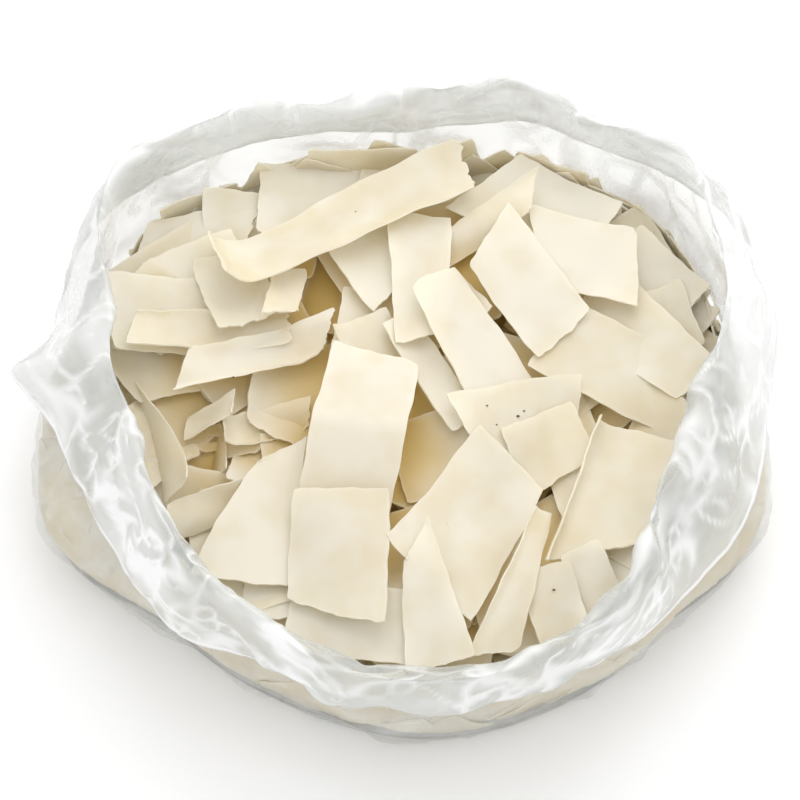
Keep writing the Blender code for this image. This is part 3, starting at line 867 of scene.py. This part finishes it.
@dataclass
class FlakeHeap:
    """The heap: a core that is seldom seen, and the loose flakes that lie over and round it.

    A lift is the per cent of a flake's points that lie clear of what is under them.
    """

    form: BagForm
    sheet: RiceSheet = field(default_factory=RiceSheet)
    top_height: float = 35.0
    top_slope: float = 0.09
    dome: float = 4.0
    bank: float = 11.0
    bank_starts: tuple[float, float] = (0.6, 0.95)
    mean_radius: float = 110.0
    cell: float = 1.25
    cells: tuple[int, int] = (224, 192)
    flake_thickness: float = 0.55
    clearance: float = 2.2
    steepest: float = 0.35
    corner: float = 0.45
    curl_from: float = 0.24
    loose_lift: float = 92.0
    shown_lift: float = 98.5
    sliver_lift: float = 90.0
    sharp_angle: float = math.radians(50)
    # The painted shade in the gaps: the depth below the mean level over which it grows in, the
    # distance from the lit wall over which it fades in, and the averaging window in cells.
    shade_depths: tuple[float, float] = (2.0, 12.0)
    lit_wall: tuple[float, float] = (4.0, 16.0)
    window: int = 17
    fine: tuple[int, int] = (41, 21)
    coarse: tuple[int, int] = (25, 13)
    small: tuple[int, int] = (17, 9)
    shown_height: float = 54.0
    least_height: float = 46.0
    base_height: float = 1.3
    sight_slope: float = math.tan(math.radians(57))
    core_columns: int = 160
    core_rings: tuple[int, int] = (12, 34)
    core_inset: float = 7.5
    core_edge: float = 7.0
    core_base: float = 1.6
    loose_count: int = 100
    loose_reach: tuple[float, float] = (96.0, 84.0)
    rim_count: int = 44
    rim_reach: tuple[float, float] = (98.0, 88.0)
    forward: float = 5.0
    pit_margin: float = 1.2
    side_count: int = 190
    side_turn: float = 1.1
    side_clearance: float = 1.5
    side_layer: float = 1.9
    side_depth: float = 0.8
    side_lean: float = 2.4
    back_rise: float = 7.0
    back_peak: float = 14.0
    sliver_count: int = 12
    rim_sizes: tuple = (("length", 20, 40), ("width", 12, 22))
    loose_sizes: tuple = (("length", 20, 54), ("width", 14, 32))
    side_sizes: tuple = (("length", 22, 50), ("width", 14, 32))
    side_ranges: tuple = (("bend", 0, 8), ("cup", -6, 6), ("tip_slant", -20, 20),
                          ("tail_slant", -20, 20))
    loose_ranges: tuple = (("turn", 0, 360), ("bend", -8, 26), ("cup", -8, 18), ("tip", -16, 24),
                           ("left", -10, 24), ("twist", -6, 6), ("roll", -10, 10),
                           ("tip_slant", -22, 22), ("tail_slant", -22, 22),
                           ("taper", -0.15, 0.25), ("ripple", 0.3, 0.9))
    sliver_ranges: tuple = (("x", -76, -50), ("y", -38, 4), ("length", 8, 17), ("width", 2.5, 6),
                            ("turn", 0, 360), ("bend", 0, 40), ("cup", -10, 20),
                            ("tip_slant", -30, 30), ("tail_slant", -30, 30), ("roll", -35, 35))
    pits: tuple = ((-65, -27, 14, 18), (-40, -30, 8, 12), (5, -6, 7, 10), (88, 14, 7, 9),
                   (-66, -4, 9, 8))
    speck_places: tuple = ((38, -13, 0.7), (40, -11, 0.5), (28, -11, 0.45), (31, -17, 0.4),
                           (47, -74, 0.6), (-15, 62, 0.5), (-54, 0, 0.5), (-27, 88, 0.8))
    hollows: tuple = ((-36, -48, 34, 18), (-8, -40, 24, 8), (-45, 2, 26, 7), (64, -8, 26, 6))

    def __post_init__(self) -> None:
        """Prepare the wall's table, the height field and the random draws."""
        self.rng = np.random.default_rng(SEED + 7)
        self.heights, self.walls = self.form.wall_table()
        column, row = np.meshgrid(*(np.arange(n) for n in self.cells), indexing="ij")
        self.field = self.top((column - self.cells[0] / 2) * self.cell,
                              (row - self.cells[1] / 2) * self.cell)

    def wall(self, angles: np.ndarray, z: np.ndarray) -> np.ndarray:
        """Give the film's radius at angles and heights, from the wall's table."""
        a = (angles % math.tau) / math.tau * (len(self.walls) - 1)
        b = np.clip(z, self.heights[0], self.heights[-1]) - self.heights[0]
        return self.walls[np.rint(a).astype(int), np.rint(b).astype(int)]

    def room(self, angles: np.ndarray) -> np.ndarray:
        """Give the radius that a flake on top may reach at any height near the top."""
        heights = (self.top_height - 4, self.top_height + 8, self.top_height + 22)
        walls = [self.wall(angles, np.full(angles.shape, z)) for z in heights]
        return np.min(walls, axis=0) - self.clearance

    def top(self, x: np.ndarray, y: np.ndarray) -> np.ndarray:
        """Give the core's top: a slope to the front under a low dome, with deep pits.

        Args:
            x: Place along X in mm.
            y: Place along Y in mm.

        Returns:
            The height in mm.
        """
        dome = self.dome * (1 - (x / self.mean_radius) ** 2 - (y / self.mean_radius) ** 2)
        height = self.top_height + self.top_slope * y + dome
        edge = np.hypot(x, y) / self.mean_radius
        height = height + self.bank * ramp(edge, *self.bank_starts)
        for pit_x, pit_y, radius, depth in (*self.pits, *self.hollows):
            away = np.hypot(x - pit_x + MIDDLE[0], y - pit_y + MIDDLE[1]) / radius
            height = height - depth * np.exp(-away ** 2)
        return height

    def bent_sheet(self, flake: Flake, shape: tuple[int, int]) -> np.ndarray:
        """Work out a flake's own bent surface, round its middle.

        Formula: along each side the slope angle is the bend times the place, plus each
        curl where it starts, and the place and rise are the running sums of the angle's
        cosine and sine. Ends are slanted and broken by small random steps, and twist and
        ripple lift the corners and the long edges.

        Args:
            flake: The flake.
            shape: Points along its length and width.

        Returns:
            Points shaped length, width, 3.
        """
        u = np.linspace(-0.5, 0.5, shape[0])
        v = np.linspace(-0.5, 0.5, shape[1])
        along, rise_u = self.curve(u, flake.bend, flake.tip, flake.tail, flake.kink)
        across, rise_v = self.curve(v, flake.cup, flake.right, flake.left, 0.0)
        grid_u, grid_v = np.meshgrid(u, v, indexing="ij")
        phase = self.rng.uniform(0, math.tau, (6, 3))
        tip = flake.width * (v * math.tan(math.radians(flake.tip_slant))
                             + 0.02 * self.waver(v, phase[0]))
        tip = tip + flake.torn * self.waver(3.3 * v, phase[1])
        tail = flake.width * (v * math.tan(math.radians(flake.tail_slant))
                              + 0.02 * self.waver(v, phase[2]))
        end, side = np.abs(2 * grid_u) ** 3, np.abs(2 * grid_v) ** 3
        corner = self.corner * np.abs(4 * grid_u * grid_v) ** 9
        a = flake.length * along[:, None] + end * np.where(grid_u > 0, tip[None], tail[None])
        a = a - np.sign(grid_u) * corner
        waver = np.where(grid_v > 0, self.waver(u, phase[3])[:, None],
                         self.waver(u, phase[4])[:, None])
        b = flake.width * across[None] * (1 - flake.taper * (2 * grid_u))
        b = b + side * waver * (0.008 * flake.length + 0.5 * flake.torn)
        b = b - np.sign(grid_v) * corner
        wave = np.sin(6.0 * grid_u + phase[5, 0]) * side + np.sin(
            5.0 * grid_v + 4.0 * grid_u + phase[5, 1]) * 0.5
        c = flake.length * rise_u[:, None] + flake.width * rise_v[None]
        c = c + math.radians(flake.twist) * flake.width * 2 * grid_u * grid_v + flake.ripple * wave
        return np.stack([a, b, c], axis=-1)

    def waver(self, t: np.ndarray, phase: np.ndarray) -> np.ndarray:
        """Give a smooth uneven line from -1 to 1: three sines of unlike lengths."""
        return (0.5 * np.sin(6 * t + phase[0]) + 0.3 * np.sin(15 * t + phase[1])
                + 0.2 * np.sin(33 * t + phase[2]))

    def curve(self, t: np.ndarray, whole: float, end: float, start: float,
              kink: float) -> tuple[np.ndarray, np.ndarray]:
        """Bend a unit line: running sums of the cosine and sine of its slope angle.

        Args:
            t: Places from -0.5 to 0.5.
            whole: Degrees that the line turns from end to end.
            end: Degrees that its last part curls up.
            start: Degrees that its first part curls up.
            kink: Degrees that it turns sharply at its middle.

        Returns:
            Place and rise of each point, round the middle.
        """
        slope = np.radians(whole) * t + np.radians(end) * ramp(t, self.curl_from, 0.5)
        slope = slope - np.radians(start) * ramp(-t, self.curl_from, 0.5)
        slope = slope + np.radians(kink) * (ramp(t, -0.06, 0.06) - 0.5)
        middle = 0.5 * (slope[1:] + slope[:-1])
        step = t[1] - t[0]
        place = np.concatenate([[0], np.cumsum(np.cos(middle) * step)])
        rise = np.concatenate([[0], np.cumsum(np.sin(middle) * step)])
        return place - place[len(t) // 2], rise - rise[len(t) // 2]

    def cell_of(self, x: np.ndarray, y: np.ndarray) -> tuple[np.ndarray, np.ndarray]:
        """Give the height field's cell under each place."""
        column = (x / self.cell + self.cells[0] / 2).astype(int)
        row = (y / self.cell + self.cells[1] / 2).astype(int)
        return np.clip(column, 0, self.cells[0] - 1), np.clip(row, 0, self.cells[1] - 1)

    def rest(self, flake: Flake, local: np.ndarray, lift: float) -> np.ndarray:
        """Find where a flake comes to rest on the heap.

        Formula: the flake is rolled and turned, then moved in until it clears the wall. A
        plane is fitted to the heights under it by least squares, with a large weight on
        the points above the plane, so that it ends up resting on the highest few.

        Args:
            flake: The flake.
            local: Its own bent surface.
            lift: Per cent of its points that must lie clear of what is under them.

        Returns:
            Points shaped length, width, 3.
        """
        roll, turn = math.radians(flake.roll), math.radians(flake.turn)
        a = local[..., 0]
        b = local[..., 1] * math.cos(roll) - local[..., 2] * math.sin(roll)
        c = local[..., 1] * math.sin(roll) + local[..., 2] * math.cos(roll)
        x = a * math.cos(turn) - b * math.sin(turn)
        y = a * math.sin(turn) + b * math.cos(turn)
        middle = np.array([flake.x, flake.y]) - MIDDLE
        for _ in range(6):
            px, py = x + middle[0], y + middle[1]
            reach = np.hypot(px, py)
            height = np.maximum(self.field[self.cell_of(px, py)], self.least_height)
            beyond = reach - self.wall(np.arctan2(py, px), height) + self.clearance
            worst = np.unravel_index(np.argmax(beyond), beyond.shape)
            if beyond[worst] <= 0:
                break
            middle = middle - np.array([px[worst], py[worst]]) * beyond[worst] / reach[worst]
        x, y = x + middle[0], y + middle[1]
        under = (self.field[self.cell_of(x, y)] - c).ravel()
        design = np.column_stack([x.ravel() - middle[0], y.ravel() - middle[1],
                                  np.ones(x.size)])
        plane = np.array([0.0, 0.0, under.max()])
        for _ in range(7):
            weight = np.where(under > design @ plane, 1.0, 0.05)[:, None]
            plane = np.linalg.lstsq(design * weight, under * weight[:, 0], rcond=None)[0]
        plane[:2] = np.clip(plane[:2], -self.steepest, self.steepest)
        plane[2] += np.percentile(under - design @ plane, lift) + 0.5 * self.flake_thickness
        plane[2] -= flake.sink
        return np.stack([x, y, (design @ plane).reshape(x.shape) + c], axis=-1)

    def lay(self, flake: Flake, shape: tuple[int, int], lift: float,
            seen: bool = False) -> np.ndarray:
        """Lay one flake on the heap, and raise the height field by it.

        Args:
            flake: The flake.
            shape: Points along its length and width.
            lift: Per cent of its points that must lie clear of what is under them.
            seen: Whether it is moved along the camera's line for the height it rests at.

        Returns:
            Points shaped length, width, 3.
        """
        local = self.bent_sheet(flake, shape)
        sheet = self.rest(flake, local, lift)
        if seen:
            height = self.shown_height + self.top_slope * flake.y
            shift = (sheet[..., 2].mean() - height) / self.sight_slope
            sheet = self.rest(replace(flake, y=flake.y - shift), local, lift)
        column, row = self.cell_of(sheet[..., 0], sheet[..., 1])
        for side in (0, 1):
            for end in (0, 1):
                spot = (np.minimum(column + side, self.cells[0] - 1),
                        np.minimum(row + end, self.cells[1] - 1))
                np.maximum.at(self.field, spot, sheet[..., 2] + 0.5 * self.flake_thickness)
        return sheet

    def drawn(self, ranges: tuple) -> dict[str, float]:
        """Draw each named value of a flake from its range, in the order of the table."""
        return {name: self.rng.uniform(low, high) for name, low, high in ranges}

    def loose_flakes(self) -> list[Flake]:
        """Draw the flakes under and between the ones that show, by the rim and by a spiral."""
        flakes = []
        draw = self.rng.uniform
        for index in range(self.rim_count):
            angle = (index + draw(-0.3, 0.3)) * math.tau / self.rim_count
            x = self.rim_reach[0] * math.cos(angle)
            y = self.rim_reach[1] * math.sin(angle) - self.forward
            flakes.append(Flake(x, y, **self.drawn(self.rim_sizes + self.loose_ranges)))
        golden = math.pi * (3 - math.sqrt(5))
        for index in range(self.loose_count):
            angle = index * golden
            reach = math.sqrt(((index * 7) % self.loose_count + 0.5) / self.loose_count)
            x = self.loose_reach[0] * reach * math.cos(angle)
            y = self.loose_reach[1] * reach * math.sin(angle) - self.forward
            if any(math.hypot(x - p[0], y - p[1]) < self.pit_margin * p[2] for p in self.pits):
                continue
            flakes.append(Flake(x, y, **self.drawn(self.loose_sizes + self.loose_ranges)))
        return flakes

    def side_sheets(self) -> list[np.ndarray]:
        """Lay flakes flat against the inside of the wall, in two layers.

        Formula: a flake's place runs round the wall and up it, higher at the back, and its
        radius is the wall's, less the film's clearance and a depth that grows across the
        flake. What would reach below the base is turned in along it.

        Returns:
            Each flake's points.
        """
        sheets = []
        draw = self.rng.uniform
        for index in range(self.side_count):
            angle = (index * GOLDEN_SHARE % 1.0) * math.tau
            size = self.drawn(self.side_sizes)
            turn = draw(-self.side_turn, self.side_turn)
            flake = Flake(x=0, y=0, turn=0, **size, **self.drawn(self.side_ranges))
            local = self.bent_sheet(flake, self.small)
            along = local[..., 0] * math.cos(turn) - local[..., 1] * math.sin(turn)
            up = local[..., 0] * math.sin(turn) + local[..., 1] * math.cos(turn)
            half = float(np.abs(up).max())
            back = math.sin(angle)
            rim = self.shown_height + self.back_rise * back + self.back_peak * max(back, 0) ** 3
            z = min(draw(0, rim), max(rim - half, half)) + up
            under = np.maximum(self.base_height - z, 0)
            z = np.maximum(z, self.base_height + 0.6 * (index % 3))
            depth = draw(0.0, self.side_depth) + self.side_layer * (index % 2)
            depth = depth + draw(0, self.side_lean) * (
                0.5 + local[..., 1] / flake.width * (1 if draw(-1, 1) > 0 else -1))
            angles = angle + along / self.mean_radius
            radius = self.wall(angles, z) - self.side_clearance - np.maximum(depth, 0) - under
            sheets.append(np.stack([radius * np.cos(angles), radius * np.sin(angles), z], axis=-1))
        return sheets

    def slivers(self) -> list[np.ndarray]:
        """Drop narrow broken slivers into the gap at the left."""
        sheets = []
        for _ in range(self.sliver_count):
            flake = Flake(**self.drawn(self.sliver_ranges), ripple=0.2, sink=2.0)
            sheets.append(self.lay(flake, self.small, self.sliver_lift))
        return sheets

    def join(self, name: str, sheets: list[np.ndarray], material: bpy.types.Material,
             tints: tuple[float, float]) -> bpy.types.Object:
        """Give the sheets their thickness and join them into one piece.

        Formula: every sheet's top and bottom stand half a thickness off its middle along
        its normals, and one strip of quads joins them round the rim.

        Args:
            name: The piece's name.
            sheets: Grids of points, all of one shape.
            material: The piece's finish.
            tints: The range that each flake's tint is drawn from.

        Returns:
            The new piece.
        """
        points = np.stack(sheets)
        count, rows, columns = points.shape[:3]
        normal = sheet_normals(points, False)
        half = 0.5 * self.flake_thickness
        both = np.stack([points + normal * half, points - normal * half], axis=1)
        size = rows * columns
        quads = grid_quads(rows, columns, False)
        number = np.arange(size).reshape(rows, columns)
        rim = np.concatenate([number[0, :-1], number[:-1, -1], number[-1, :0:-1],
                              number[:0:-1, 0]])
        after = np.roll(rim, -1)
        edge = np.stack([after, rim, rim + size, after + size], axis=-1)
        one = np.concatenate([quads, quads[:, ::-1] + size, edge])
        faces = (one[None] + (np.arange(count) * 2 * size)[:, None, None]).reshape(-1, 4)
        # Each flake's edge points, which get the painted edge highlight.
        edges = np.ones((rows, columns))
        edges[1:-1, 1:-1] = 0
        # The tint is each flake's own tone. The depth mark carries the painted shade in the gaps,
        # and the rim mark carries the painted highlight on the edges.
        marks = {"tint": np.repeat(self.rng.uniform(*tints, count), 2 * size),
                 "depth": self.depth(both.reshape(-1, 3)),
                 "rim": np.tile(edges.ravel(), 2 * count)}
        piece = make_piece(name, both.reshape(-1, 3), faces.tolist(), marks, material)
        piece.data.set_sharp_from_angle(angle=self.sharp_angle)
        return piece

    def depth(self, points: np.ndarray) -> np.ndarray:
        """Give how deep points lie in the heap, as a share from 0 to 1, for the painted gap shade.

        Formula: the height field is averaged over a window, and the share grows from a
        little below that level down to the full depth. It fades near the lit wall.

        Args:
            points: Rows of x, y and z.

        Returns:
            The share for each point.
        """
        level = self.field
        steps = range(-self.window, self.window + 1)
        for axis in (0, 1):
            level = sum(np.roll(level, step, axis) for step in steps) / len(steps)
        below = level[self.cell_of(points[:, 0], points[:, 1])] - points[:, 2]
        reach = np.hypot(points[:, 0], points[:, 1])
        inside = self.wall(np.arctan2(points[:, 1], points[:, 0]), points[:, 2]) - reach
        return ramp(below, *self.shade_depths) * ramp(inside, *self.lit_wall)

    def core(self, material: bpy.types.Material) -> bpy.types.Object:
        """Make the core: rings inside the wall, closed above by the pitted top.

        Args:
            material: The piece's finish.

        Returns:
            The new piece.
        """
        count = self.core_columns
        angles = np.arange(count) * math.tau / count
        c, s = np.cos(angles), np.sin(angles)
        edge = self.room(angles) - self.core_edge
        rim = self.top(edge * c, edge * s)
        rings = []
        for share in np.linspace(0, 1, self.core_rings[0]):
            z = self.core_base + share * (rim - self.core_base)
            radius = self.wall(angles, z) - self.core_inset
            rings.append(np.column_stack([radius * c, radius * s, z]))
        for share in np.linspace(0.97, 0.02, self.core_rings[1]):
            x, y = share * radius * c, share * radius * s
            rings.append(np.column_stack([x, y, self.top(x, y) - 0.6]))
        points = np.vstack(rings)
        faces = grid_quads(len(rings), count, True).tolist()
        last = (len(rings) - 1) * count
        faces += [list(range(count))[::-1], list(range(last, last + count))]
        # The core gets the painted gap shade by its depth, and no edge highlight.
        marks = {"tint": np.full(len(points), 1.0), "depth": self.depth(points),
                 "rim": np.zeros(len(points))}
        return make_piece("heap_core", points, faces, marks, material)

    def specks(self) -> bpy.types.Object:
        """Make the small dark specks of husk on the large flakes.

        Formula: each speck is an octahedron, flattened and longer one way than the other.

        Returns:
            The new piece.
        """
        corners = np.array([(1, 0, 0), (0, 1, 0), (-1, 0, 0), (0, -1, 0), (0, 0, 1), (0, 0, -1)],
                           float)
        sides = np.array([(0, 1, 4), (1, 2, 4), (2, 3, 4), (3, 0, 4),
                          (1, 0, 5), (2, 1, 5), (3, 2, 5), (0, 3, 5)])
        points, faces = [], []
        for index, (x, y, size) in enumerate(self.speck_places):
            place = np.array([x, y]) - MIDDLE
            z = self.field[self.cell_of(*place[:, None])][0]
            points.append(corners * size * (1, 0.7, 0.4) + (*place, z))
            faces.append(sides + 6 * index)
        return make_piece("husk_specks", np.vstack(points), np.vstack(faces).tolist(), {},
                          PlainFinish("rice_husk", "5A4630", 0.7).build())

    def build(self) -> None:
        """Lay every flake and make the heap's pieces."""
        finish = self.sheet.build()
        report(self.core(finish), Solid.HEAP)
        loose = [self.lay(flake, self.coarse, self.loose_lift)
                 for flake in self.loose_flakes()]
        log.info("loose flakes rise to %.1f mm", np.mean([f[..., 2].mean() for f in loose[-30:]]))
        chips = self.slivers()
        shown = [self.lay(flake, self.fine, self.shown_lift, seen=True) for flake in SHOWN]
        log.info("large flakes rise to %.1f mm", np.mean([f[..., 2].mean() for f in shown]))
        for name, sheets, tints in (("side_flakes", self.side_sheets(), (0.3, 1.0)),
                                    ("loose_flakes", loose, (0.2, 1.0)),
                                    ("large_flakes", shown, (0.0, 0.6)),
                                    ("slivers", chips, (0.2, 0.8))):
            report(self.join(name, sheets, finish, tints), Solid.HEAP)
        report(self.specks(), Solid.HEAP)


@dataclass
class Studio:
    """The pale floor, the soft lights and the camera."""

    elevation: float = math.radians(57.0)
    distance: float = 0.62
    target: Vector = field(default_factory=lambda: Vector((0.0008, 0.0056, 0.045)))
    focal: float = 84.5
    room: float = 1.02

    def build(self) -> None:
        """Set up the floor, the lights, the world and the camera."""
        self.floor()
        self.light("window", (0.09, 0.28, 0.46), 0.5, 1.2)
        world = bpy.data.worlds.new("studio")
        bpy.context.scene.world = world
        world.use_nodes = True
        light = world.node_tree.nodes["Background"].inputs
        light["Color"].default_value = (1, 1, 1, 1)
        light["Strength"].default_value = self.room
        view = bpy.context.scene.view_settings
        view.view_transform = "Standard"
        self.camera()

    def floor(self) -> None:
        """Make the floor, a wide white sheet."""
        points = np.array([(-4, -4, 0), (4, -4, 0), (4, 4, 0), (-4, 4, 0)], float) / MM
        finish = PlainFinish("white_paper", "FBFBFB", 0.9).build()
        make_piece("floor", points, [[0, 1, 2, 3]], {}, finish)

    def light(self, name: str, place: tuple[float, float, float], size: float,
              power: float) -> None:
        """Add one square soft light that faces the bag.

        Args:
            name: The light's name.
            place: Where it hangs, in metres.
            size: Its side, in metres.
            power: Its power, in watts.
        """
        lamp = bpy.data.lights.new(name, "AREA")
        lamp.size = size
        lamp.energy = power
        holder = bpy.data.objects.new(name, lamp)
        holder.location = place
        holder.rotation_euler = (self.target - Vector(place)).to_track_quat("-Z", "Y").to_euler()
        bpy.context.scene.collection.objects.link(holder)

    def camera(self) -> None:
        """Add the camera in front of the bag, looking down into it."""
        lens = bpy.data.cameras.new("camera")
        lens.lens = self.focal
        lens.sensor_width = 36.0
        holder = bpy.data.objects.new("camera", lens)
        back = Vector((0, -math.cos(self.elevation), math.sin(self.elevation)))
        holder.location = self.target + back * self.distance
        holder.rotation_euler = (-back).to_track_quat("-Z", "Y").to_euler()
        bpy.context.scene.collection.objects.link(holder)
        bpy.context.scene.camera = holder


def main() -> None:
    """Build the bag, its heap of flakes and the studio."""
    logging.basicConfig(level=logging.INFO, format="%(message)s")
    form = BagForm()
    FlakeHeap(form).build()
    PlasticBag(form).build()
    Studio().build()


if __name__ == "__main__":
    main()
